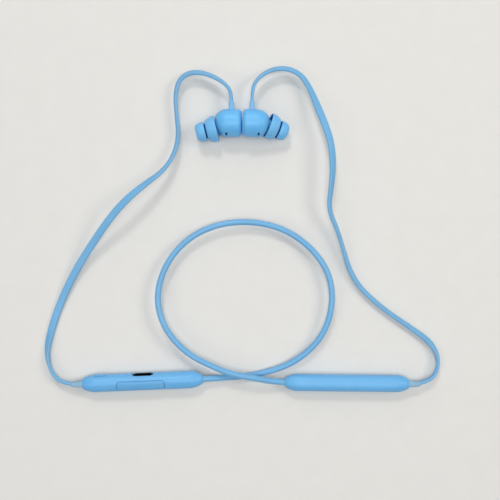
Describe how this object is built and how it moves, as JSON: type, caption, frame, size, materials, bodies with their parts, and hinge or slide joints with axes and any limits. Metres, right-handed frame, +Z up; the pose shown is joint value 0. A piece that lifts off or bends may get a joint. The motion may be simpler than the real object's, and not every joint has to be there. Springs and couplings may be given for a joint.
{
  "type": "neckband earphones",
  "caption": "Neckband in-ear earphones: control module, battery module, round neck cable, and an earbud with a double-flange tip on a flat ribbon from each module.",
  "frame": {"origin": "on the surface it lies on, under the middle of the modules and earbuds", "axes": "+X from the control module to the battery module, +Y from the modules to the earbuds, +Z up"},
  "size_m": [0.1929, 0.1577, 0.0146],
  "materials": {
    "module_plastic": "satin light blue moulding",
    "key_plastic": "satin light blue moulding",
    "earbud_plastic": "satin light blue moulding",
    "tip_silicone": "soft matt silicone, light blue",
    "sleeve_rubber": "soft satin, greyed light blue",
    "cable_jacket": "satin round jacket, light blue",
    "ribbon_jacket": "satin flat jacket, light blue",
    "circuit_board": "green solder mask",
    "bright_steel": "plain rolled steel",
    "black_plastic": "black moulding",
    "magnet_metal": "bright nickel plate",
    "steel_mesh": "fine woven mesh",
    "diaphragm_film": "thin clear-amber film",
    "cell_wrap": "foil pouch",
    "light_pipe": "clear light pipe"
  },
  "bodies": {
    "neckband": {"battery_base_cover": "module_plastic", "battery_board": "circuit_board", "battery_cell": "cell_wrap", "battery_housing": "module_plastic", "battery_neck_collar": "sleeve_rubber", "battery_ribbon_sleeve": "sleeve_rubber", "cell_foam_pad": "black_plastic", "control_base_cover": "module_plastic", "control_board": "circuit_board", "control_housing": "module_plastic", "control_neck_collar": "sleeve_rubber", "control_ribbon_sleeve": "sleeve_rubber", "microphone": "bright_steel", "microphone_mesh": "steel_mesh", "neck_cable": "cable_jacket", "play_switch": "black_plastic", "radio_shield": "bright_steel", "status_light": "light_pipe", "usb_c_shell": "bright_steel", "usb_c_tongue": "black_plastic", "volume_switches": "black_plastic", "left_ribbon": "ribbon_jacket", "right_ribbon": "ribbon_jacket"},
    "volume_key": {"volume_rocker": "key_plastic"},
    "play_key": {"play_button": "key_plastic"},
    "left_earbud": {"left_back_cap": "earbud_plastic", "left_bud_cable_sleeve": "sleeve_rubber", "left_driver_basket": "black_plastic", "left_driver_diaphragm": "diaphragm_film", "left_driver_magnet": "magnet_metal", "left_front_shell": "earbud_plastic", "left_latch_magnet": "magnet_metal", "left_nozzle_mesh": "steel_mesh", "left_vent_mesh": "steel_mesh"},
    "left_tip": {"left_ear_tip": "tip_silicone"},
    "right_earbud": {"right_back_cap": "earbud_plastic", "right_bud_cable_sleeve": "sleeve_rubber", "right_driver_basket": "black_plastic", "right_driver_diaphragm": "diaphragm_film", "right_driver_magnet": "magnet_metal", "right_front_shell": "earbud_plastic", "right_latch_magnet": "magnet_metal", "right_nozzle_mesh": "steel_mesh", "right_vent_mesh": "steel_mesh"},
    "right_tip": {"right_ear_tip": "tip_silicone"}
  },
  "joints": [
    {"name": "volume_rock", "type": "hinge", "parent": "neckband", "child": "volume_key", "pos_m": [-0.05052, -0.06584, 0.00594], "axis": [-0.0364, 0.9056, 0.4226], "range_deg": [-1.3, 1.3], "stiffness_Nm_per_rad": 0.05},
    {"name": "play_press", "type": "slide", "parent": "neckband", "child": "play_key", "axis": [0.0364, -0.9056, -0.4226], "range_m": [0, 0.0003], "stiffness_N_per_m": 800},
    {"name": "left_earbud_part", "type": "slide", "parent": "neckband", "child": "left_earbud", "axis": [-1, 0, 0], "range_m": [0, 0.003], "deforming": ["left_ribbon"]},
    {"name": "right_earbud_part", "type": "slide", "parent": "neckband", "child": "right_earbud", "axis": [0.9994, -0.0349, 0], "range_m": [0, 0.003], "deforming": ["right_ribbon"]},
    {"name": "left_tip_pull", "type": "slide", "parent": "left_earbud", "child": "left_tip", "axis": [-0.9724, -0.2326, -0.0203], "range_m": [0, 0.0041]},
    {"name": "right_tip_pull", "type": "slide", "parent": "right_earbud", "child": "right_tip", "axis": [0.9192, -0.3361, -0.2049], "range_m": [0, 0.0041]}
  ]
}
